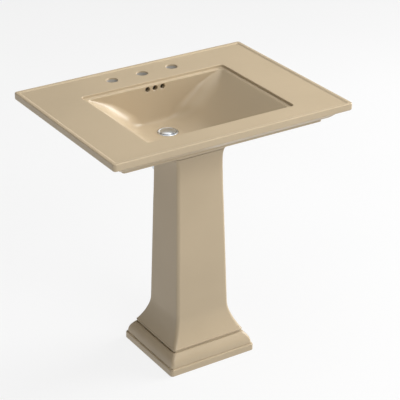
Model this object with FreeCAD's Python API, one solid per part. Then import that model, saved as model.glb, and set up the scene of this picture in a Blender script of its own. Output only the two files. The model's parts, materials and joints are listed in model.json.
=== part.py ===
"""Pedestal sink: a moulded vitreous-china basin on a hollow china pedestal,
with a push-to-open drain and a bottle trap that carries the waste to the wall.

Frame: millimetres, +Z up, X across the front, +Y towards the wall.
The origin is on the floor, under the centre of the basin's deck.
Every piece is its own solid (or group of identical solids) in parts/NODE.step.
"""
import FreeCAD
import Part
import math
import os

V = FreeCAD.Vector

# ---------------------------------------------------------------- driving sizes
# Basin deck
WIDTH = 774.0            # side to side
DEPTH = 584.0            # front to wall
HEIGHT = 800.0           # floor to the top of the raised rim
SLAB_THICK = 23.0        # visible edge of the deck
SLAB_TOP_ROUND = 3.6
SLAB_LOW_ROUND = 6.0
DECK_CORNER_R = 9.0
RIM_DROP = 2.6           # the deck field lies this far below the rim
RIM_OUTER_INSET = 8.5    # where the rim starts to fall towards the field
RIM_INNER_INSET = 15.5   # where the field begins
DECK_SKIN = 13.0         # china under the deck field

# Moulded apron under the deck (inset from the deck's edge, drop below the top)
APRON_PROFILE = [(11.0, 22.0), (19.0, 27.5), (30.0, 36.5), (40.0, 46.5), (50.0, 53.0), (61.0, 57.0)]
APRON_DROP = 66.0
APRON_WALL = 12.5
APRON_CORNER_R = 8.0

# Bowl
STEP_HALF_X = 240.0      # stepped rebate round the bowl
STEP_FRONT_Y = -212.0
STEP_BACK_Y = 160.0
STEP_CORNER_R = 10.0
STEP_DROP = 11.5         # from the rim's top to the narrow ledge
DRAIN_Y = 81.0
BOWL_FLOOR_Z = 662.5
BOWL_SHELL = 11.0
# z, half width, front y, back y, corner radius, from the floor up to the ledge
BOWL_SECTIONS = [
    (662.5, 37.0, 44.0, 117.5, 32.0),
    (664.0, 50.0, 14.0, 126.0, 38.0),
    (667.0, 66.0, -24.0, 137.5, 42.0),
    (671.0, 80.0, -56.0, 144.5, 44.0),
    (677.0, 94.0, -83.0, 147.0, 48.0),
    (686.0, 108.0, -108.0, 148.0, 54.0),
    (704.0, 129.0, -138.0, 148.3, 62.0),
    (744.0, 176.5, -176.5, 148.7, 58.0),
    (788.5, 229.0, -201.0, 149.0, 12.0),
]

# Holes in the basin
TAP_HOLE_R = 17.5
TAP_PITCH = 101.6
TAP_Y = 225.0
OVERFLOW_R = 7.5
OVERFLOW_PITCH = 25.5
OVERFLOW_Z = 776.5
DRAIN_HOLE_R = 22.5
DRAIN_SEAT_R = 31.8
DRAIN_SEAT_Z = 658.5
BOSS_R = 34.0
BOSS_BOTTOM_Z = 618.0
WALL_BOLT_R = 6.5
WALL_BOLT_PITCH = 203.2
WALL_BOLT_Z = 757.0

# Overflow duct behind and under the bowl
DUCT_HALF_X = 34.0
DUCT_FRONT_Y = 161.0
DUCT_BACK_Y = 177.0
DUCT_BOTTOM_Z = 635.0
DUCT_SKIN = 11.0

# Pedestal
PED_Y = -32.0            # centre of the shaft and plinth
PED_TOP_Z = 661.0        # top of the front wall, which hides the joint
PED_SEAT_Z = 650.0       # top of the side and back walls
PED_FRONT_LIP = 13.5     # thickness of the raised part of the front wall
PED_DEPTH_LESS = 8.5     # each half depth is this much less than the half width
PED_CORNER_R = 9.0
PED_WALL = 13.0
PLINTH_HALF = 146.0
PLINTH_H = 21.0
PLINTH_ROUND = 4.0
# height and half width of the round moulding, from the plinth up to the neck
OVOLO = [(21.0, 141.5), (30.0, 141.0), (36.0, 139.5), (42.0, 137.0), (48.0, 133.3), (53.0, 129.5),
         (57.0, 126.0), (60.0, 122.0)]
NECK_HALF = 118.5
BEAD_LOW_Z = 66.5
BEAD_TOP_Z = 71.0
BEAD_HALF = 119.5        # the bead swells out from here by its own half height
SHAFT_TOP_HALF = 77.6    # half width where the taper meets z = 600
SHAFT_TAPER = 0.025      # half width lost per millimetre of height
FOOT_FLARE = 29.2        # extra half width at the foot, dying away upwards
FOOT_FLARE_TOP_Z = 155.0
FOOT_FLARE_POWER = 1.7
TOP_FLARE = 5.2          # extra half width at the top, dying away downwards
TOP_FLARE_LENGTH = 15.5
BACK_SLOT_SILL_Z = 30.0  # opening up the back for the waste pipe
BACK_SLOT_LOW_HALF = 52.0
BACK_SLOT_TOP_HALF = 46.0
FLOOR_BOLT_R = 5.5
FLOOR_BOLT_PITCH = 104.0
FLOOR_BOLT_Y = 62.0
SEAT_PAD_H = 2.0

# Drain
TUBE_R = 15.875          # 1 1/4 inch waste tube
TUBE_WALL = 0.9
DRAIN_BODY_R = 20.2
DRAIN_BORE_R = 17.6
DRAIN_BOTTOM_Z = 588.0
THREAD_PITCH = 2.0
FLANGE_R = 31.0
CAP_R = 23.5
STOPPER_TRAVEL = 9.0

# Bottle trap
TRAP_OUTLET_Z = 541.0
TRAP_R = 32.0
TRAP_WALL = 1.6
TRAP_HEAD_BOTTOM_Z = 520.0
TRAP_BOTTOM_Z = 447.0
WALL_Y = DEPTH / 2

CLEAR = 0.2              # gap between a sleeve and the tube inside it


# ---------------------------------------------------------------- helpers
def rounded_wire(x0, x1, y0, y1, radius, z):
    """Closed rectangle in a level plane with four rounded corners."""
    arc_mid = radius * (1.0 - math.sqrt(0.5))
    corners = [
        (V(x0, y0 + radius, z), V(x0 + arc_mid, y0 + arc_mid, z), V(x0 + radius, y0, z)),
        (V(x1 - radius, y0, z), V(x1 - arc_mid, y0 + arc_mid, z), V(x1, y0 + radius, z)),
        (V(x1, y1 - radius, z), V(x1 - arc_mid, y1 - arc_mid, z), V(x1 - radius, y1, z)),
        (V(x0 + radius, y1, z), V(x0 + arc_mid, y1 - arc_mid, z), V(x0, y1 - radius, z)),
    ]
    edges = []
    for index, (start, middle, end) in enumerate(corners):
        edges.append(Part.Arc(start, middle, end).toShape())
        edges.append(Part.LineSegment(end, corners[(index + 1) % 4][0]).toShape())
    return Part.Wire(edges)


def rounded_block(x0, x1, y0, y1, radius, z0, z1):
    """Upright block with rounded vertical corners."""
    face = Part.Face(rounded_wire(x0, x1, y0, y1, radius, z0))
    return face.extrude(V(0, 0, z1 - z0))


def box(x0, x1, y0, y1, z0, z1):
    return Part.makeBox(x1 - x0, y1 - y0, z1 - z0, V(x0, y0, z0))


def loft(wires, ruled=False):
    return Part.makeLoft(wires, True, ruled)


def level_edges(shape, z, keep):
    """Edges that lie wholly at height z and pass the keep(edge centre) test."""
    found = []
    for edge in shape.Edges:
        limits = edge.BoundBox
        if abs(limits.ZMin - z) < 0.01 and abs(limits.ZMax - z) < 0.01 and keep(edge.CenterOfMass):
            found.append(edge)
    return found


def turned(profile, centre):
    """Solid of revolution about the vertical line through centre: profile of (r, z)."""
    points = [V(centre.x + r, centre.y, z) for r, z in profile]
    face = Part.Face(Part.makePolygon(points + points[:1]))
    return face.revolve(V(centre.x, centre.y, 0), V(0, 0, 1), 360)


def ring(r_out, r_in, z0, z1, centre):
    return turned([(r_in, z0), (r_out, z0), (r_out, z1), (r_in, z1)], centre)


def threaded_outline(radius, z_low, z_high):
    """Outline points of a saw-toothed thread face, from z_low up to z_high."""
    depth = 0.45 * THREAD_PITCH
    turns = int((z_high - z_low) / THREAD_PITCH)
    points = []
    for index in range(turns):
        z = z_low + index * THREAD_PITCH
        points.append((radius - depth, z))
        points.append((radius, z + 0.5 * THREAD_PITCH))
    points.append((radius - depth, z_low + turns * THREAD_PITCH))
    return points


def hexagon_nut(across_flats, bore_r, z0, z1, centre):
    """Hexagon nut with its corners turned off at both ends."""
    corner_r = across_flats / math.sqrt(3.0)
    points = [
        V(centre.x + corner_r * math.cos(math.radians(60 * k)),
          centre.y + corner_r * math.sin(math.radians(60 * k)), z0)
        for k in range(6)
    ]
    prism = Part.Face(Part.makePolygon(points + points[:1])).extrude(V(0, 0, z1 - z0))
    flat_r = across_flats / 2
    chamfer = corner_r - flat_r
    turning = turned(
        [(bore_r, z0), (flat_r, z0), (corner_r, z0 + chamfer * 0.6),
         (corner_r, z1 - chamfer * 0.6), (flat_r, z1), (bore_r, z1)], centre)
    return prism.common(turning)


def to_wall(shape, origin):
    """Turn a piece built along +Z at the origin so that it points along +Y from origin."""
    turned_shape = shape.copy()
    turned_shape.rotate(V(0, 0, 0), V(1, 0, 0), -90)
    turned_shape.translate(origin)
    return turned_shape


def save(name, shape):
    if not shape.isValid():
        print("INVALID", name)
    shape.exportStep(os.path.join("parts", name + ".step"))
    print(name, len(shape.Solids), "solid(s)", round(shape.Volume / 1000.0, 1), "cm3")


# ---------------------------------------------------------------- basin
def deck_slab():
    """Flat deck with rounded edges and a low raised rim round its field."""
    half_x = WIDTH / 2
    half_y = DEPTH / 2
    bottom = HEIGHT - SLAB_THICK
    slab = rounded_block(-half_x, half_x, -half_y, half_y, DECK_CORNER_R, bottom, HEIGHT)
    slab = slab.makeFillet(SLAB_TOP_ROUND, level_edges(slab, HEIGHT, lambda c: True))
    slab = slab.makeFillet(SLAB_LOW_ROUND, level_edges(slab, bottom, lambda c: c.y < half_y - DECK_CORNER_R))
    square_back = box(-half_x + DECK_CORNER_R, half_x - DECK_CORNER_R, half_y - DECK_CORNER_R, half_y,
                      bottom, bottom + SLAB_LOW_ROUND + 1.0)
    slab = slab.fuse(square_back).removeSplitter()
    wires = []
    steps = 7
    for index in range(steps + 1):
        share = index / steps
        inset = RIM_INNER_INSET + (RIM_OUTER_INSET - RIM_INNER_INSET) * share
        rise = RIM_DROP * 0.5 * (1.0 - math.cos(math.pi * share))
        z = HEIGHT - RIM_DROP + rise
        radius = max(DECK_CORNER_R - inset, 3.0) + 2.0
        wires.append(rounded_wire(-half_x + inset, half_x - inset,
                                  -half_y + inset, half_y - inset, radius, z))
    return slab.cut(loft(wires))


def apron_block():
    """Moulding under the deck on three sides, flush with the wall at the back."""
    half_x = WIDTH / 2
    half_y = DEPTH / 2
    wires = []
    for inset, drop in APRON_PROFILE:
        wires.append(rounded_wire(-half_x + inset, half_x - inset, -half_y + inset, half_y,
                                  APRON_CORNER_R, HEIGHT - drop))
    moulding = loft(wires)
    inset, drop = APRON_PROFILE[-1]
    foot = rounded_block(-half_x + inset, half_x - inset, -half_y + inset, half_y,
                         APRON_CORNER_R, HEIGHT - APRON_DROP, HEIGHT - drop)
    foot = foot.makeFillet(3.0, level_edges(foot, HEIGHT - APRON_DROP,
                                            lambda c: c.y < half_y - APRON_CORNER_R))
    return moulding.fuse(foot)


def apron_hollow():
    """Space inside the apron, under the deck."""
    half_x = WIDTH / 2
    half_y = DEPTH / 2
    low_inset = APRON_PROFILE[-1][0] + APRON_WALL
    high_inset = low_inset - 40.0
    ceiling = HEIGHT - RIM_DROP - DECK_SKIN
    levels = [(low_inset, HEIGHT - APRON_DROP - 1.0), (low_inset - 1.0, HEIGHT - APRON_PROFILE[-1][1]),
              (high_inset, ceiling)]
    wires = []
    for inset, z in levels:
        wires.append(rounded_wire(-half_x + inset, half_x - inset, -half_y + inset,
                                  half_y - APRON_WALL, 12.0, z))
    return loft(wires, ruled=True)


def spread(rows, count):
    """Rows of numbers resampled on a smooth curve that never overshoots them.

    The new rows are evenly spaced along the side wall of the bowl, which the
    first two numbers of each row (height and half width) describe.
    """
    along = [0.0]
    for low, high in zip(rows, rows[1:]):
        along.append(along[-1] + math.hypot(high[0] - low[0], high[1] - low[1]))
    columns = [monotone_slopes(along, [row[k] for row in rows]) for k in range(len(rows[0]))]
    result = []
    for index in range(count):
        distance = along[-1] * index / (count - 1)
        span = max(k for k in range(len(along) - 1) if along[k] <= distance + 1e-9)
        width = along[span + 1] - along[span]
        t = (distance - along[span]) / width
        row = []
        for k, slopes in enumerate(columns):
            start = rows[span][k]
            end = rows[span + 1][k]
            row.append((2 * t ** 3 - 3 * t ** 2 + 1) * start + (3 * t ** 2 - 2 * t ** 3) * end
                       + (t ** 3 - 2 * t ** 2 + t) * width * slopes[span]
                       + (t ** 3 - t ** 2) * width * slopes[span + 1])
        result.append(tuple(row))
    return result


def monotone_slopes(along, values):
    """Slopes at each point for a cubic that keeps the values' rise or fall."""
    rates = [(b - a) / (t - s) for a, b, s, t in zip(values, values[1:], along, along[1:])]
    slopes = [rates[0]]
    for before, after in zip(rates, rates[1:]):
        same_way = before * after > 0
        slopes.append(2 * before * after / (before + after) if same_way else 0.0)
    slopes.append(rates[-1])
    return slopes


def bowl_wires(shell):
    """Sections of the bowl, moved out and down by shell."""
    wires = []
    for z, half_x, y0, y1, radius in spread(BOWL_SECTIONS, 17):
        wires.append(rounded_wire(-half_x - shell, half_x + shell, y0 - shell, y1 + shell,
                                  radius + shell, z - shell))
    return wires


def bowl_outside():
    """Outer surface of the bowl, its support collar, drain boss and overflow hump."""
    top = HEIGHT - RIM_DROP - DECK_SKIN + 4.0
    shape = loft(bowl_wires(BOWL_SHELL))
    collar = rounded_block(-STEP_HALF_X - 9.0, STEP_HALF_X + 9.0, STEP_FRONT_Y - 9.0,
                           STEP_BACK_Y + 9.0, STEP_CORNER_R + 14.0, HEIGHT - STEP_DROP - BOWL_SHELL, top)
    shape = shape.fuse(collar)
    rest_z = PED_SEAT_Z + SEAT_PAD_H
    half = shaft_half(PED_TOP_Z)
    rest = [
        ped_wire(half - 1.0, rest_z),
        ped_wire(half + 1.0, rest_z + 11.0),
        ped_wire(half + 6.0, rest_z + 20.0),
    ]
    shape = shape.fuse(loft(rest))
    lip_y = ped_front_y(PED_TOP_Z) + PED_FRONT_LIP + 1.0
    shape = shape.cut(box(-STEP_HALF_X, STEP_HALF_X, STEP_FRONT_Y, lip_y,
                          rest_z - 30.0, PED_TOP_Z + SEAT_PAD_H))
    centre = V(0, DRAIN_Y, 0)
    boss = turned([(0, BOSS_BOTTOM_Z), (BOSS_R - 2.0, BOSS_BOTTOM_Z), (BOSS_R, BOSS_BOTTOM_Z + 2.0),
                   (BOSS_R, BOWL_FLOOR_Z - 6.0), (0, BOWL_FLOOR_Z - 6.0)], centre)
    shape = shape.fuse(boss)
    hump_half = DUCT_HALF_X + DUCT_SKIN
    hump_back = DUCT_BACK_Y + DUCT_SKIN
    hump_low = DUCT_BOTTOM_Z - DUCT_SKIN
    upright = rounded_block(-hump_half, hump_half, 130.0, hump_back, 14.0, hump_low, top)
    level = rounded_block(-hump_half, hump_half, DRAIN_Y - 6.0, hump_back, 14.0, hump_low,
                          DUCT_BOTTOM_Z + 22.0)
    hump = upright.fuse(level).removeSplitter()
    hump = hump.makeFillet(8.0, level_edges(hump, hump_low, lambda c: True))
    return shape.fuse(hump)


def shaft_half(z):
    """Half width of the shaft: a straight taper with a flare at each end."""
    taper = SHAFT_TOP_HALF + SHAFT_TAPER * (600.0 - z)
    near_foot = max(0.0, FOOT_FLARE_TOP_Z - z) / (FOOT_FLARE_TOP_Z - BEAD_TOP_Z)
    foot = FOOT_FLARE * near_foot ** FOOT_FLARE_POWER
    top = TOP_FLARE * math.exp((z - PED_TOP_Z) / TOP_FLARE_LENGTH)
    return taper + foot + top


def shaft_heights():
    """Heights from the bead to the top, closer together where the shaft flares."""
    heights = [BEAD_TOP_Z]
    step = 7.0
    while heights[-1] + 2.2 * step < PED_TOP_Z - 90.0:
        heights.append(heights[-1] + step)
        step *= 1.22
    for below_top in (74.0, 50.0, 34.0, 22.0, 13.0, 6.0, 0.0):
        heights.append(PED_TOP_Z - below_top)
    return heights


def ped_front_y(z):
    """Y of the front of the shaft at height z."""
    return PED_Y - shaft_half(z) + PED_DEPTH_LESS


def ped_wire(half_x, z, radius=PED_CORNER_R):
    """Level section of the pedestal's outside, half_x wide to each side."""
    half_y = half_x - PED_DEPTH_LESS
    return rounded_wire(-half_x, half_x, PED_Y - half_y, PED_Y + half_y, radius, z)


def make_basin():
    body = deck_slab().fuse(apron_block())
    body = body.cut(apron_hollow())
    body = body.fuse(bowl_outside())
    body = body.removeSplitter()

    ledge_z = HEIGHT - STEP_DROP
    rebate = rounded_block(-STEP_HALF_X, STEP_HALF_X, STEP_FRONT_Y, STEP_BACK_Y,
                           STEP_CORNER_R, ledge_z, HEIGHT + 5.0)
    rebate = rebate.makeFillet(2.0, level_edges(rebate, ledge_z, lambda c: True))
    body = body.cut(rebate)
    body = body.cut(loft(bowl_wires(0.0)))

    for index in (-1, 0, 1):
        body = body.cut(Part.makeCylinder(TAP_HOLE_R, 60.0, V(index * TAP_PITCH, TAP_Y, HEIGHT - 50.0)))
    duct_top = OVERFLOW_Z + OVERFLOW_R + 1.0
    body = body.cut(rounded_block(-DUCT_HALF_X, DUCT_HALF_X, DUCT_FRONT_Y, DUCT_BACK_Y, 6.0,
                                  DUCT_BOTTOM_Z, duct_top))
    body = body.cut(rounded_block(-14.0, 14.0, DRAIN_Y, DUCT_BACK_Y, 6.0,
                                  DUCT_BOTTOM_Z, DUCT_BOTTOM_Z + 13.0))
    for index in (-1, 0, 1):
        hole = Part.makeCylinder(OVERFLOW_R, 40.0, V(index * OVERFLOW_PITCH, 130.0, OVERFLOW_Z), V(0, 1, 0))
        body = body.cut(hole)
        body = body.cut(Part.makeCone(OVERFLOW_R + 4.0, OVERFLOW_R, 4.0,
                                      V(index * OVERFLOW_PITCH, 146.4, OVERFLOW_Z), V(0, 1, 0)))
    body = body.cut(Part.makeCylinder(DRAIN_HOLE_R, 80.0, V(0, DRAIN_Y, BOSS_BOTTOM_Z - 5.0)))
    body = body.cut(Part.makeCylinder(DRAIN_SEAT_R, 20.0, V(0, DRAIN_Y, DRAIN_SEAT_Z)))
    for side in (-1, 1):
        body = body.cut(Part.makeCylinder(WALL_BOLT_R, 40.0,
                                          V(side * WALL_BOLT_PITCH / 2, WALL_Y - 30.0, WALL_BOLT_Z),
                                          V(0, 1, 0)))
    return soften_basin(body)


def soften_basin(body):
    """Round the lips that the glaze runs over."""
    field_z = HEIGHT - RIM_DROP
    ledge_z = HEIGHT - STEP_DROP

    def in_opening(c):
        return abs(c.x) <= STEP_HALF_X + 1 and STEP_FRONT_Y - 1 <= c.y <= STEP_BACK_Y + 1

    def on_tap_hole(c):
        return abs(c.y - TAP_Y) < TAP_HOLE_R + 1

    for radius, z, keep in ((2.2, field_z, in_opening), (3.0, ledge_z, in_opening),
                            (1.6, field_z, on_tap_hole)):
        body = body.makeFillet(radius, level_edges(body, z, keep))
    return body


# ---------------------------------------------------------------- pedestal
def ring_of_sections(heights_and_halves):
    return loft([ped_wire(half, z) for z, half in heights_and_halves])


def pedestal_outside():
    """Plinth, round moulding, neck, bead and the flared, tapering shaft."""
    low = PLINTH_H - PLINTH_ROUND
    shape = loft([ped_wire(PLINTH_HALF, 0.0), ped_wire(PLINTH_HALF, low)], ruled=True)
    edge = []
    for index in range(5):
        angle = math.radians(90.0 * index / 4)
        edge.append((low + PLINTH_ROUND * math.sin(angle),
                     PLINTH_HALF - PLINTH_ROUND + PLINTH_ROUND * math.cos(angle)))
    shape = shape.fuse(ring_of_sections(edge))
    shape = shape.fuse(ring_of_sections(OVOLO))
    neck = [ped_wire(NECK_HALF, OVOLO[-1][0]), ped_wire(NECK_HALF, BEAD_LOW_Z)]
    shape = shape.fuse(loft(neck, ruled=True))
    bead = []
    bead_r = (BEAD_TOP_Z - BEAD_LOW_Z) / 2
    for index in range(5):
        angle = math.radians(-90.0 + 180.0 * index / 4)
        bead.append((BEAD_LOW_Z + bead_r + bead_r * math.sin(angle), BEAD_HALF + bead_r * math.cos(angle)))
    shape = shape.fuse(ring_of_sections(bead))
    return shape.fuse(ring_of_sections([(z, shaft_half(z)) for z in shaft_heights()]))


def make_pedestal():
    """Hollow china pedestal, open at the back, the top and the bottom."""
    inner = [(-1.0, PLINTH_HALF - 22.0), (40.0, OVOLO[0][1] - 26.0), (66.0, NECK_HALF - 18.0)]
    for z in (86.0, 104.0, 128.0, 160.0, 330.0, 600.0):
        inner.append((z, shaft_half(z) - PED_WALL))
    inner.append((PED_TOP_Z + 1.0, shaft_half(PED_TOP_Z) - PED_WALL))
    cavity = loft([ped_wire(half, z, 14.0) for z, half in inner], ruled=True)
    shape = pedestal_outside().cut(cavity)
    lip_y = ped_front_y(PED_TOP_Z) + PED_FRONT_LIP
    shape = shape.cut(box(-PLINTH_HALF, PLINTH_HALF, lip_y, PLINTH_HALF, PED_SEAT_Z, PED_TOP_Z + 5.0))
    low = BACK_SLOT_LOW_HALF
    top = BACK_SLOT_TOP_HALF
    slot = Part.Face(Part.makePolygon([
        V(-low, PED_Y, BACK_SLOT_SILL_Z), V(low, PED_Y, BACK_SLOT_SILL_Z),
        V(top, PED_Y, PED_TOP_Z + 5.0), V(-top, PED_Y, PED_TOP_Z + 5.0),
        V(-low, PED_Y, BACK_SLOT_SILL_Z)]))
    shape = shape.cut(slot.extrude(V(0, PLINTH_HALF + 10.0, 0)))
    lug_back = PED_Y + PLINTH_HALF - PED_DEPTH_LESS - 12.0
    for side in (-1, 1):
        x = side * FLOOR_BOLT_PITCH / 2
        lug = rounded_block(x - 21.0, x + 21.0, FLOOR_BOLT_Y - 20.0, lug_back + 6.0, 5.0, 0.0, 14.0)
        shape = shape.fuse(lug)
    for side in (-1, 1):
        shape = shape.cut(Part.makeCylinder(FLOOR_BOLT_R, 40.0,
                                            V(side * FLOOR_BOLT_PITCH / 2, FLOOR_BOLT_Y, -5.0)))
    return shape.removeSplitter()


def make_seat_pads():
    """Four rubber pads between the pedestal's rim and the basin."""
    front_y = ped_front_y(PED_TOP_Z)
    edge_x = shaft_half(PED_SEAT_Z) - 7.0
    pads = []
    for side in (-1, 1):
        x = side * 40.0
        pads.append(rounded_block(x - 16.0, x + 16.0, front_y + 3.0, front_y + 11.5, 2.0,
                                  PED_TOP_Z, PED_TOP_Z + SEAT_PAD_H))
        x = side * edge_x
        pads.append(rounded_block(x - 4.2, x + 4.2, PED_Y - 8.0, PED_Y + 28.0, 2.0,
                                  PED_SEAT_Z, PED_SEAT_Z + SEAT_PAD_H))
    return Part.makeCompound(pads)


# ---------------------------------------------------------------- drain
DRAIN = V(0, DRAIN_Y, 0)
GASKET_H = 1.2
FLANGE_UNDER_Z = DRAIN_SEAT_Z + GASKET_H
DISH_Z = FLANGE_UNDER_Z + 1.6
HUB_TOP_Z = 612.0
HUB_LOW_Z = 606.0
HOUSING_R = 8.6
HOUSING_TOP_Z = 640.0
PLUNGER_R = 5.0
SEAL_H = 1.5
CAP_UNDER_Z = DISH_Z + SEAL_H


def make_drain_body():
    """Flange, threaded tube with overflow windows, and the bridge that holds the push unit."""
    rim_z = FLANGE_UNDER_Z + 4.2
    flange = [
        (DRAIN_BORE_R, FLANGE_UNDER_Z), (FLANGE_R - 0.8, FLANGE_UNDER_Z), (FLANGE_R, FLANGE_UNDER_Z + 0.8),
        (FLANGE_R - 0.3, FLANGE_UNDER_Z + 2.2), (FLANGE_R - 1.4, rim_z - 0.6), (FLANGE_R - 2.8, rim_z),
        (FLANGE_R - 4.0, rim_z - 0.3), (CAP_R + 1.6, DISH_Z + 0.8), (CAP_R + 1.2, DISH_Z),
        (DRAIN_BORE_R + 0.8, DISH_Z), (DRAIN_BORE_R, DISH_Z - 0.8),
    ]
    body = turned(flange, DRAIN)
    thread_top = BOSS_BOTTOM_Z + 6.0
    outline = [(DRAIN_BORE_R, DRAIN_BOTTOM_Z)] + threaded_outline(DRAIN_BODY_R, DRAIN_BOTTOM_Z, thread_top)
    outline += [(DRAIN_BODY_R, thread_top + 1.0), (DRAIN_BODY_R, FLANGE_UNDER_Z),
                (DRAIN_BORE_R, FLANGE_UNDER_Z)]
    body = body.fuse(turned(outline, DRAIN))
    body = body.fuse(ring(DRAIN_BORE_R + 0.5, TUBE_R + 0.1, DRAIN_BOTTOM_Z, DRAIN_BOTTOM_Z + 9.0, DRAIN))
    for angle in (0, 90):
        window = box(-6.0, 6.0, -30.0, 30.0, DUCT_BOTTOM_Z + 1.0, DUCT_BOTTOM_Z + 12.0)
        window.rotate(V(0, 0, 0), V(0, 0, 1), angle)
        window.translate(DRAIN)
        body = body.cut(window)
    spokes = None
    for angle in (45, 135):
        bar = box(-DRAIN_BORE_R - 0.5, DRAIN_BORE_R + 0.5, -2.0, 2.0, HUB_LOW_Z, HUB_TOP_Z)
        bar.rotate(V(0, 0, 0), V(0, 0, 1), angle)
        bar.translate(DRAIN)
        spokes = bar if spokes is None else spokes.fuse(bar)
    spokes = spokes.fuse(ring(7.0, 3.0, HUB_LOW_Z, HUB_TOP_Z, DRAIN))
    spokes = spokes.cut(Part.makeCylinder(3.0, 20.0, V(0, DRAIN_Y, HUB_LOW_Z - 5.0)))
    return body.fuse(spokes).removeSplitter()


def make_flange_gasket():
    return ring(FLANGE_R - 1.5, DRAIN_BODY_R + 0.3, DRAIN_SEAT_Z, FLANGE_UNDER_Z, DRAIN)


def make_stopper_cap():
    """Shallow dome with a rolled edge and a threaded socket under its centre."""
    rim_z = CAP_UNDER_Z
    dome_h = 4.4
    sphere_r = (CAP_R ** 2 + dome_h ** 2) / (2 * dome_h)
    profile = [(3.1, rim_z), (CAP_R - 0.8, rim_z), (CAP_R, rim_z + 0.8), (CAP_R - 0.1, rim_z + 1.4)]
    steps = 14
    for index in range(steps + 1):
        r = (CAP_R - 0.5) * (1.0 - index / steps)
        z = rim_z + 1.9 + math.sqrt(sphere_r ** 2 - r ** 2) - (sphere_r - dome_h)
        profile.append((r, z))
    profile += [(0.0, rim_z + 2.4), (3.1, rim_z + 2.4)]
    cap = turned(profile, DRAIN)
    return cap.fuse(ring(5.5, 3.1, rim_z - 5.0, rim_z, DRAIN)).removeSplitter()


def make_stopper_seal():
    return ring(CAP_R - 1.2, DRAIN_BORE_R - 0.8, DISH_Z + 0.02, CAP_UNDER_Z, DRAIN)


def make_stopper_stem():
    """Brass screw that joins the cap to the plunger."""
    low = HOUSING_TOP_Z + 3.0
    return turned([(0, low), (3.0, low), (3.0, low + 3.0), (4.4, low + 3.0), (4.4, low + 6.0),
                   (3.0, low + 6.0), (3.0, CAP_UNDER_Z + 2.2), (0, CAP_UNDER_Z + 2.2)], DRAIN)


def make_click_plunger():
    """Plunger that slides in the push unit and carries the stem."""
    low = HUB_TOP_Z + 15.0
    top = HOUSING_TOP_Z + 5.8
    return turned([(0, low), (7.0, low), (7.0, low + 3.0), (PLUNGER_R, low + 3.0), (PLUNGER_R, top),
                   (3.05, top), (3.05, HOUSING_TOP_Z + 2.9), (0, HOUSING_TOP_Z + 2.9)], DRAIN)


def make_click_housing():
    """Cup screwed to the bridge, open upwards for the spring and the plunger."""
    floor_z = HUB_TOP_Z + 2.0
    return turned([(0, HUB_LOW_Z - 1.0), (2.9, HUB_LOW_Z - 1.0), (2.9, HUB_TOP_Z), (HOUSING_R, HUB_TOP_Z),
                   (HOUSING_R, HOUSING_TOP_Z), (7.1, HOUSING_TOP_Z), (7.1, floor_z), (0, floor_z)], DRAIN)


def make_click_collar():
    """Ring that closes the top of the push unit and guides the plunger."""
    return ring(HOUSING_R, PLUNGER_R + 0.06, HOUSING_TOP_Z, HOUSING_TOP_Z + 2.4, DRAIN)


def make_click_spring():
    """Compression spring under the plunger."""
    wire_r = 0.6
    coil_r = 5.6
    low = HUB_TOP_Z + 2.0 + wire_r
    high = HUB_TOP_Z + 15.0 - wire_r
    helix = Part.makeHelix((high - low) / 5.0, high - low, coil_r)
    section = Part.Wire(Part.makeCircle(wire_r, V(coil_r, 0, 0), V(0, 1, 0)))
    spring = Part.Wire(helix).makePipeShell([section], True, True)
    spring.translate(V(0, DRAIN_Y, low))
    return spring


def make_outlet_gasket():
    """Tapered rubber ring that seals the drain under the boss."""
    z = BOSS_BOTTOM_Z
    bore = DRAIN_BODY_R + CLEAR
    return turned([(bore, z - 8.0), (30.0, z - 8.0), (31.0, z - 6.0), (31.0, z - 0.05),
                   (DRAIN_HOLE_R - 0.2, z - 0.05), (bore + 0.8, z + 5.0), (bore, z + 5.0)], DRAIN)


def make_friction_washer():
    z = BOSS_BOTTOM_Z - 8.0
    return ring(29.5, DRAIN_BODY_R + CLEAR, z - 1.5, z, DRAIN)


def make_drain_locknut():
    z = BOSS_BOTTOM_Z - 9.5
    return hexagon_nut(54.0, DRAIN_BODY_R + CLEAR, z - 10.0, z, DRAIN)


def make_tailpiece():
    """Waste tube with a shoulder that seats under the drain body."""
    shoulder_z = DRAIN_BOTTOM_Z - 1.5
    inner = TUBE_R - TUBE_WALL
    return turned([(inner, 557.0), (TUBE_R, 557.0), (TUBE_R, shoulder_z - 5.0),
                   (TUBE_R + 3.4, shoulder_z - 5.0), (TUBE_R + 3.4, shoulder_z), (TUBE_R, shoulder_z),
                   (TUBE_R, DRAIN_BOTTOM_Z + 8.0), (inner, DRAIN_BOTTOM_Z + 8.0)], DRAIN)


def make_tailpiece_washer():
    return ring(TUBE_R + 3.4, TUBE_R + 0.1, DRAIN_BOTTOM_Z - 1.5, DRAIN_BOTTOM_Z, DRAIN)


# ---------------------------------------------------------------- bottle trap
INLET_TOP_Z = 570.0
SHOULDER_Z = 556.0
SPIGOT_R = 19.6
SPIGOT_BORE_R = 17.0
OUTLET_START_Y = DRAIN_Y + TRAP_R
OUTLET_END_Y = OUTLET_START_Y + 16.0
SLIP_NUT_R = 24.5
SLIP_NUT_LENGTH = 18.0
SLIP_NUT_GRIP = 9.0      # how far the nut reaches back over the spigot
DRAWN_IN = 0.25          # how much the outlet tube's gripped end is drawn in
INLET = V(0, DRAIN_Y, INLET_TOP_Z)
OUTLET = V(0, OUTLET_END_Y, TRAP_OUTLET_Z)


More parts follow.
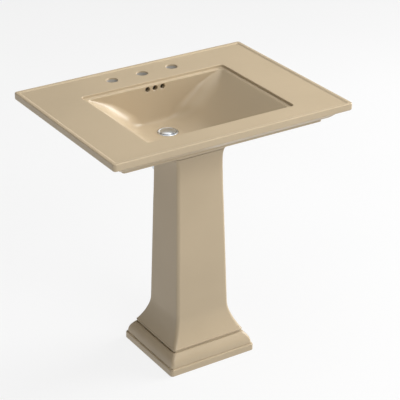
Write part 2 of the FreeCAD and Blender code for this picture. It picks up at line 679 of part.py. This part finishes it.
def slip_nut():
    """Ribbed slip nut round a spigot whose mouth is at the origin, facing +Z."""
    lip = 3.0
    low = -SLIP_NUT_GRIP
    high = low + SLIP_NUT_LENGTH
    nut = turned([(SPIGOT_R + CLEAR, low), (SLIP_NUT_R - 1.0, low), (SLIP_NUT_R, low + 1.0),
                  (SLIP_NUT_R, high - 2.0), (SLIP_NUT_R - 2.0, high), (TUBE_R + 0.5, high),
                  (TUBE_R + 0.5, high - lip), (SPIGOT_R + CLEAR, high - lip)], V(0, 0, 0))
    ribs = 16
    grooves = []
    for index in range(ribs):
        groove = Part.makeCylinder(1.6, SLIP_NUT_LENGTH, V(SLIP_NUT_R + 0.7, 0, low - 2.5))
        groove.rotate(V(0, 0, 0), V(0, 0, 1), index * 360.0 / ribs)
        grooves.append(groove)
    return nut.cut(Part.makeCompound(grooves))


def slip_washer():
    """Bevelled washer that seals a tube in a spigot: from the origin along +Z."""
    bore = TUBE_R + 0.05
    return turned([(bore, 0), (SPIGOT_R - 0.4, 0), (SPIGOT_R - 0.4, 3.5), (TUBE_R + 2.6, 6.0),
                   (bore, 6.0)], V(0, 0, 0))


def make_trap_inlet_nut():
    nut = slip_nut()
    nut.translate(INLET)
    return nut


def make_trap_inlet_washer():
    washer = slip_washer()
    washer.translate(INLET)
    return washer


def make_trap_outlet_nut():
    return to_wall(slip_nut(), OUTLET)


def make_trap_outlet_washer():
    return to_wall(slip_washer(), OUTLET)


def make_trap_head():
    """Upper half of the trap: inlet spigot, shoulder and the outlet spigot."""
    z0 = TRAP_HEAD_BOTTOM_Z
    wall_r = TRAP_R - TRAP_WALL
    top = INLET_TOP_Z
    head = turned([
        (0, z0), (TRAP_R + 0.8, z0), (TRAP_R + 0.8, z0 + 6.0), (TRAP_R, z0 + 7.0),
        (TRAP_R, SHOULDER_Z - 8.0), (TRAP_R - 2.4, SHOULDER_Z - 2.4), (TRAP_R - 8.0, SHOULDER_Z),
        (SPIGOT_R, SHOULDER_Z), (SPIGOT_R, top), (0, top)], DRAIN)
    spigot = to_wall(Part.makeCylinder(SPIGOT_R, 24.0), V(0, OUTLET_START_Y - 8.0, TRAP_OUTLET_Z))
    head = head.fuse(spigot)
    inside = turned([(0, z0 - 1.0), (wall_r, z0 - 1.0), (wall_r, SHOULDER_Z - 9.0),
                     (wall_r - 8.0, SHOULDER_Z - 2.0), (SPIGOT_BORE_R, SHOULDER_Z - 2.0),
                     (SPIGOT_BORE_R, top + 1.0), (0, top + 1.0)], DRAIN)
    head = head.cut(inside)
    bore = to_wall(Part.makeCylinder(SPIGOT_BORE_R, 40.0), V(0, OUTLET_START_Y - 14.0, TRAP_OUTLET_Z))
    return head.cut(bore)


def make_trap_dip_tube():
    """Inner tube that takes the water below the outlet, to make the seal."""
    outer = SPIGOT_BORE_R - 0.1
    top = 556.5
    return turned([(outer - 1.2, 488.0), (outer, 488.0), (outer, 553.9), (outer + 1.8, 553.9),
                   (outer + 1.8, 552.2), (outer + 3.0, 552.2), (outer + 3.0, 553.95),
                   (outer - 0.05, 553.95), (outer - 0.05, top), (outer - 1.2, top)], DRAIN)


def make_trap_cup():
    """Removable cup with a rounded foot and a ring of finger grips at its rim."""
    wall_r = TRAP_R - TRAP_WALL
    top = TRAP_HEAD_BOTTOM_Z - 1.5
    low = TRAP_BOTTOM_Z
    outline = [
        (0, low), (12.0, low), (12.0, low + 3.0), (16.0, low + 5.0), (24.0, low + 8.0), (29.6, low + 14.0),
        (TRAP_R, low + 22.0), (TRAP_R, top - 14.0), (TRAP_R + 3.0, top - 12.0), (TRAP_R + 3.0, top),
        (wall_r, top), (wall_r, low + 22.6), (wall_r - 2.4, low + 16.0), (wall_r - 8.0, low + 10.4),
        (14.0, low + 7.4), (0, low + 7.4),
    ]
    cup = turned(outline, DRAIN)
    for index in range(24):
        groove = Part.makeCylinder(1.6, 10.0, V(TRAP_R + 4.0, 0, top - 11.0))
        groove.rotate(V(0, 0, 0), V(0, 0, 1), index * 15.0)
        groove.translate(DRAIN)
        cup = cup.cut(groove)
    return cup


def make_trap_cup_seal():
    z = TRAP_HEAD_BOTTOM_Z - 1.5
    return ring(TRAP_R + 0.8, TRAP_R - TRAP_WALL, z, z + 1.5, DRAIN)


def make_trap_outlet_tube():
    """Straight waste tube from the trap to the face of the wall, drawn in where the nut grips it."""
    inner = TUBE_R - TUBE_WALL
    start = OUTLET_START_Y + 2.0
    gripped = OUTLET_END_Y + SLIP_NUT_LENGTH - SLIP_NUT_GRIP + 1.0 - start
    drawn_r = TUBE_R - DRAWN_IN
    tube = turned([(inner - DRAWN_IN, 0), (drawn_r, 0), (drawn_r, gripped), (TUBE_R, gripped),
                   (TUBE_R, WALL_Y - start), (inner, WALL_Y - start), (inner, gripped),
                   (inner - DRAWN_IN, gripped)], V(0, 0, 0))
    return to_wall(tube, V(0, start, TRAP_OUTLET_Z))


PIECES = {
    "basin": make_basin,
    "pedestal": make_pedestal,
    "seat_pads": make_seat_pads,
    "drain_body": make_drain_body,
    "flange_gasket": make_flange_gasket,
    "stopper_cap": make_stopper_cap,
    "stopper_seal": make_stopper_seal,
    "stopper_stem": make_stopper_stem,
    "click_plunger": make_click_plunger,
    "click_housing": make_click_housing,
    "click_collar": make_click_collar,
    "click_spring": make_click_spring,
    "outlet_gasket": make_outlet_gasket,
    "friction_washer": make_friction_washer,
    "drain_locknut": make_drain_locknut,
    "tailpiece": make_tailpiece,
    "tailpiece_washer": make_tailpiece_washer,
    "trap_head": make_trap_head,
    "trap_dip_tube": make_trap_dip_tube,
    "trap_cup": make_trap_cup,
    "trap_cup_seal": make_trap_cup_seal,
    "trap_inlet_nut": make_trap_inlet_nut,
    "trap_inlet_washer": make_trap_inlet_washer,
    "trap_outlet_nut": make_trap_outlet_nut,
    "trap_outlet_washer": make_trap_outlet_washer,
    "trap_outlet_tube": make_trap_outlet_tube,
}


def main():
    os.makedirs("parts", exist_ok=True)
    for name, make in PIECES.items():
        save(name, make())


if __name__ == "__main__":
    main()
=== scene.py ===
"""Looks for the pedestal sink: glazed china, plated metal, rubber and a plain pale studio."""
import json
import math

import bpy
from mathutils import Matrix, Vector

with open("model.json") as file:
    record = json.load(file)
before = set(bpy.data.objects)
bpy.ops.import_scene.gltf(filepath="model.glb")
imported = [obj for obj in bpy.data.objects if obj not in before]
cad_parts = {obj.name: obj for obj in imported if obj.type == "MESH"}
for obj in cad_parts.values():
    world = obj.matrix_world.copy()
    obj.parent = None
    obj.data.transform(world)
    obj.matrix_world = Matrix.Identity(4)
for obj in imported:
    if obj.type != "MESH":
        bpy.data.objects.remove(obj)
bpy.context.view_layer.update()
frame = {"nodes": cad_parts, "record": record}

# Lengths are in metres, and a box is its lowest and highest corners.

# Unglazed china: the apron's hollow, apart from the bowl that stands in it, and the faucet holes' walls
APRON_HOLLOW = ((-0.3205, -0.2195, 0.73), (0.3205, 0.2805, 0.7852))
BOWL_HALF_WIDTH = 0.25
BOWL_BACK = 0.175
FAUCET_HOLES = ((-0.1205, 0.2065, 0.78), (0.1205, 0.2435, 0.7925))
BARE_ROUGHNESS = 0.8

# Most of a noise texture's values lie between these
NOISE_LOW, NOISE_HIGH = 0.3, 0.7

FLOOR_SIZE = 16.0
FLOOR_Z = -0.0005        # just under the pedestal's foot
FLOOR_GLOW = 0.840       # the floor is partly self-lit, so that it comes out pale
HORIZON_GLOW = 0.86      # the world's brightness at the horizon and below it
GLOW_ENDS = 0.22         # how far up the glow fades out: the sine of the angle above the horizon

# name, place, the point it faces, size, power in watts
LIGHTS = (
    ("overhead", (0.2, 0.2, 4.0), (0, 0, 0.3), (4.0, 4.0), 84.0),
    ("right", (3.5, -0.5, 2.2), (0, 0, 0.5), (2.0, 2.0), 204.0),
    ("front_high", (0.3, -3.3, 3.0), (0, 0, 0.6), (2.0, 1.4), 82.0),
    ("left_high", (-2.4, 0.2, 3.6), (0, 0, 0.7), (1.6, 1.6), 4.0),
)

CAMERA_PLACE = (-2.0946, -3.4044, 2.4718)
CAMERA_TILT = 26.5605    # degrees below level
CAMERA_TURN = 32.3319    # degrees from +Y towards +X
SENSOR_WIDTH = 36.0      # mm
LENS = 136.96            # mm
CLIP_END = 50.0


# ---------------------------------------------------------------- node helpers
def new_material(name):
    material = bpy.data.materials.new(name)
    material.use_nodes = True
    tree = material.node_tree
    shader = tree.nodes["Principled BSDF"]
    return material, tree, shader


def node(tree, kind, inputs=None, **settings):
    """A new node with its settings made and its inputs linked to sockets or set to values."""
    made = tree.nodes.new(kind)
    for key, value in settings.items():
        setattr(made, key, value)
    for key, value in (inputs or {}).items():
        if isinstance(value, bpy.types.NodeSocket):
            tree.links.new(value, made.inputs[key])
        else:
            made.inputs[key].default_value = value
    return made


def object_coordinates(tree):
    return node(tree, "ShaderNodeTexCoord").outputs["Object"]


def noise(tree, where, scale, detail, roughness=0.5):
    settings = {"Vector": where, "Scale": scale, "Detail": detail, "Roughness": roughness}
    return node(tree, "ShaderNodeTexNoise", settings).outputs["Fac"]


def ramp(tree, factor, low, high):
    """A colour that runs from low to high over a noise's usual values."""
    made = node(tree, "ShaderNodeValToRGB", {"Fac": factor})
    stops = ((NOISE_LOW, low), (NOISE_HIGH, high))
    for element, (position, colour) in zip(made.color_ramp.elements, stops):
        element.position = position
        element.color = (*colour, 1.0)
    return made.outputs["Color"]


def spread(tree, factor, low, high):
    """A number that runs from low to high over a noise's usual values."""
    ends = {"From Min": NOISE_LOW, "From Max": NOISE_HIGH, "To Min": low, "To Max": high}
    return node(tree, "ShaderNodeMapRange", {"Value": factor, **ends}).outputs["Result"]


def arithmetic(tree, operation, first, second=0.0):
    """One arithmetic step on two sockets or numbers."""
    return node(tree, "ShaderNodeMath", {0: first, 1: second}, operation=operation).outputs[0]


def bump(tree, shader, height, strength, distance):
    made = node(tree, "ShaderNodeBump", {"Height": height, "Strength": strength, "Distance": distance})
    tree.links.new(made.outputs["Normal"], shader.inputs["Normal"])


# ---------------------------------------------------------------- materials
def inside(tree, axes, box):
    """1 inside the box and 0 outside it."""
    mask = 1.0
    for value, least, most in zip(axes.outputs, *box):
        mask = arithmetic(tree, "MULTIPLY", mask, arithmetic(tree, "GREATER_THAN", value, least))
        mask = arithmetic(tree, "MULTIPLY", mask, arithmetic(tree, "LESS_THAN", value, most))
    return mask


def bare_places(tree, where):
    """1 where the china has no glaze and 0 elsewhere."""
    axes = node(tree, "ShaderNodeSeparateXYZ", {"Vector": where})
    from_middle = arithmetic(tree, "ABSOLUTE", axes.outputs["X"])
    beside_bowl = arithmetic(tree, "GREATER_THAN", from_middle, BOWL_HALF_WIDTH)
    behind_bowl = arithmetic(tree, "GREATER_THAN", axes.outputs["Y"], BOWL_BACK)
    clear_of_bowl = arithmetic(tree, "MAXIMUM", beside_bowl, behind_bowl)
    hollow = arithmetic(tree, "MULTIPLY", inside(tree, axes, APRON_HOLLOW), clear_of_bowl)
    return arithmetic(tree, "MAXIMUM", hollow, inside(tree, axes, FAUCET_HOLES))


def glazed_china():
    """Warm sand vitreous china: cloudy body colour under a smooth, slightly wavy glaze."""
    material, tree, shader = new_material("glazed_china")
    where = object_coordinates(tree)
    unglazed = bare_places(tree, where)
    colour = ramp(tree, noise(tree, where, 5.0, 3.0, 0.45), (0.446, 0.359, 0.243), (0.472, 0.380, 0.258))
    bare = ramp(tree, noise(tree, where, 30.0, 3.0), (0.37, 0.355, 0.33), (0.43, 0.415, 0.385))
    # A Mix node has inputs 6 and 7 and output 2 for colours, and 2 and 3 and output 0 for numbers.
    mixed = node(tree, "ShaderNodeMix", {"Factor": unglazed, 6: colour, 7: bare}, data_type="RGBA")
    tree.links.new(mixed.outputs[2], shader.inputs["Base Color"])
    smooth = spread(tree, noise(tree, where, 14.0, 2.0), 0.32, 0.38)
    rough = node(tree, "ShaderNodeMix", {"Factor": unglazed, 2: smooth, 3: BARE_ROUGHNESS},
                 data_type="FLOAT")
    tree.links.new(rough.outputs[0], shader.inputs["Roughness"])
    shader.inputs["IOR"].default_value = 1.5
    shader.inputs["Specular IOR Level"].default_value = 0.30
    bump(tree, shader, noise(tree, where, 55.0, 1.0, 0.3), strength=0.05, distance=0.002)
    return material


def plain_material(name, clouds, colours, patches, roughness, ripple=None, metallic=0.0):
    """A material whose colour and roughness drift between two values each.

    clouds and patches are the scale and detail of the noises that colour and roughness follow.
    ripple is the scale and detail of the bump's noise, then its strength and distance.
    """
    material, tree, shader = new_material(name)
    where = object_coordinates(tree)
    shader.inputs["Metallic"].default_value = metallic
    tree.links.new(ramp(tree, noise(tree, where, *clouds), *colours), shader.inputs["Base Color"])
    tree.links.new(spread(tree, noise(tree, where, *patches), *roughness), shader.inputs["Roughness"])
    if ripple:
        scale, detail, strength, distance = ripple
        bump(tree, shader, noise(tree, where, scale, detail), strength, distance)
    return material


def plated_chrome():
    return plain_material(
        "plated_chrome", metallic=1.0,
        clouds=(40.0, 2.0), colours=((0.68, 0.72, 0.76), (0.75, 0.79, 0.83)),
        patches=(120.0, 3.0), roughness=(0.28, 0.36), ripple=(300.0, 2.0, 0.04, 0.0004))


def machined_brass():
    return plain_material(
        "machined_brass", metallic=1.0,
        clouds=(60.0, 3.0), colours=((0.55, 0.38, 0.15), (0.70, 0.50, 0.22)),
        patches=(150.0, 3.0), roughness=(0.22, 0.38), ripple=(800.0, 2.0, 0.08, 0.0003))


def black_rubber():
    return plain_material(
        "black_rubber",
        clouds=(90.0, 3.0), colours=((0.018, 0.018, 0.019), (0.034, 0.033, 0.033)),
        patches=(200.0, 3.0), roughness=(0.55, 0.75), ripple=(1500.0, 2.0, 0.15, 0.0003))


def white_nylon():
    material = plain_material(
        "white_nylon",
        clouds=(70.0, 2.0), colours=((0.66, 0.64, 0.58), (0.74, 0.72, 0.66)),
        patches=(180.0, 2.0), roughness=(0.38, 0.5), ripple=(900.0, 2.0, 0.06, 0.0003))
    shader = material.node_tree.nodes["Principled BSDF"]
    shader.inputs["Subsurface Weight"].default_value = 0.1
    shader.inputs["Subsurface Radius"].default_value = (0.003, 0.003, 0.002)
    return material


def drawn_steel():
    return plain_material(
        "drawn_steel", metallic=1.0,
        clouds=(200.0, 2.0), colours=((0.38, 0.38, 0.39), (0.52, 0.52, 0.53)),
        patches=(400.0, 2.0), roughness=(0.25, 0.4))


MAKERS = {"china": glazed_china, "chrome": plated_chrome, "brass": machined_brass,
          "rubber": black_rubber, "nylon": white_nylon, "spring_steel": drawn_steel}
MATERIALS = {slot: make() for slot, make in MAKERS.items()}


def dress_frame():
    """Give every carried-over node the material of its slot."""
    for row in frame["record"]["subparts"]:
        mesh = frame["nodes"][row["node"]].data
        mesh.materials.clear()
        mesh.materials.append(MATERIALS[row["material_slot"]])


# ---------------------------------------------------------------- studio
def add_floor():
    bpy.ops.mesh.primitive_grid_add(x_subdivisions=8, y_subdivisions=8, size=FLOOR_SIZE,
                                    location=(0, 0, FLOOR_Z))
    floor = bpy.context.object
    floor.name = "studio_floor"
    material, tree, shader = new_material("pale_floor")
    tint = noise(tree, object_coordinates(tree), 0.6, 2.0)
    base = ramp(tree, tint, (0.085, 0.085, 0.085), (0.095, 0.095, 0.095))
    glow = ramp(tree, tint, (0.99, 0.99, 0.99), (1.0, 1.0, 1.0))
    tree.links.new(base, shader.inputs["Base Color"])
    tree.links.new(glow, shader.inputs["Emission Color"])
    shader.inputs["Emission Strength"].default_value = FLOOR_GLOW
    shader.inputs["Roughness"].default_value = 0.9
    shader.inputs["Specular IOR Level"].default_value = 0.1
    floor.data.materials.append(material)


def add_world():
    """Pale at and below the horizon, like the floor going on, and dimmer upwards."""
    world = bpy.data.worlds.new("studio")
    world.use_nodes = True
    tree = world.node_tree
    way = node(tree, "ShaderNodeTexCoord").outputs["Generated"]
    up = node(tree, "ShaderNodeSeparateXYZ", {"Vector": way}).outputs["Z"]
    ends = {"From Min": 0.0, "From Max": GLOW_ENDS, "To Min": HORIZON_GLOW, "To Max": 0.0}
    level = node(tree, "ShaderNodeMapRange", {"Value": up, **ends})
    back = tree.nodes["Background"]
    back.inputs["Color"].default_value = (1.0, 1.0, 1.0, 1.0)
    tree.links.new(level.outputs["Result"], back.inputs["Strength"])
    bpy.context.scene.world = world


def add_light(name, place, target, size, power):
    data = bpy.data.lights.new(name, "AREA")
    data.shape = "RECTANGLE"
    data.size, data.size_y = size
    data.energy = power
    lamp = bpy.data.objects.new(name, data)
    lamp.location = place
    lamp.rotation_euler = (Vector(target) - Vector(place)).to_track_quat("-Z", "Y").to_euler()
    bpy.context.scene.collection.objects.link(lamp)


def add_camera():
    data = bpy.data.cameras.new("camera")
    data.sensor_width = SENSOR_WIDTH
    data.lens = LENS
    data.clip_end = CLIP_END
    camera = bpy.data.objects.new("camera", data)
    camera.location = CAMERA_PLACE
    camera.rotation_euler = (math.radians(90.0 - CAMERA_TILT), 0.0, math.radians(-CAMERA_TURN))
    bpy.context.scene.collection.objects.link(camera)
    bpy.context.scene.camera = camera


dress_frame()
add_floor()
add_world()
for light in LIGHTS:
    add_light(*light)
add_camera()
bpy.context.scene.view_settings.view_transform = "Standard"
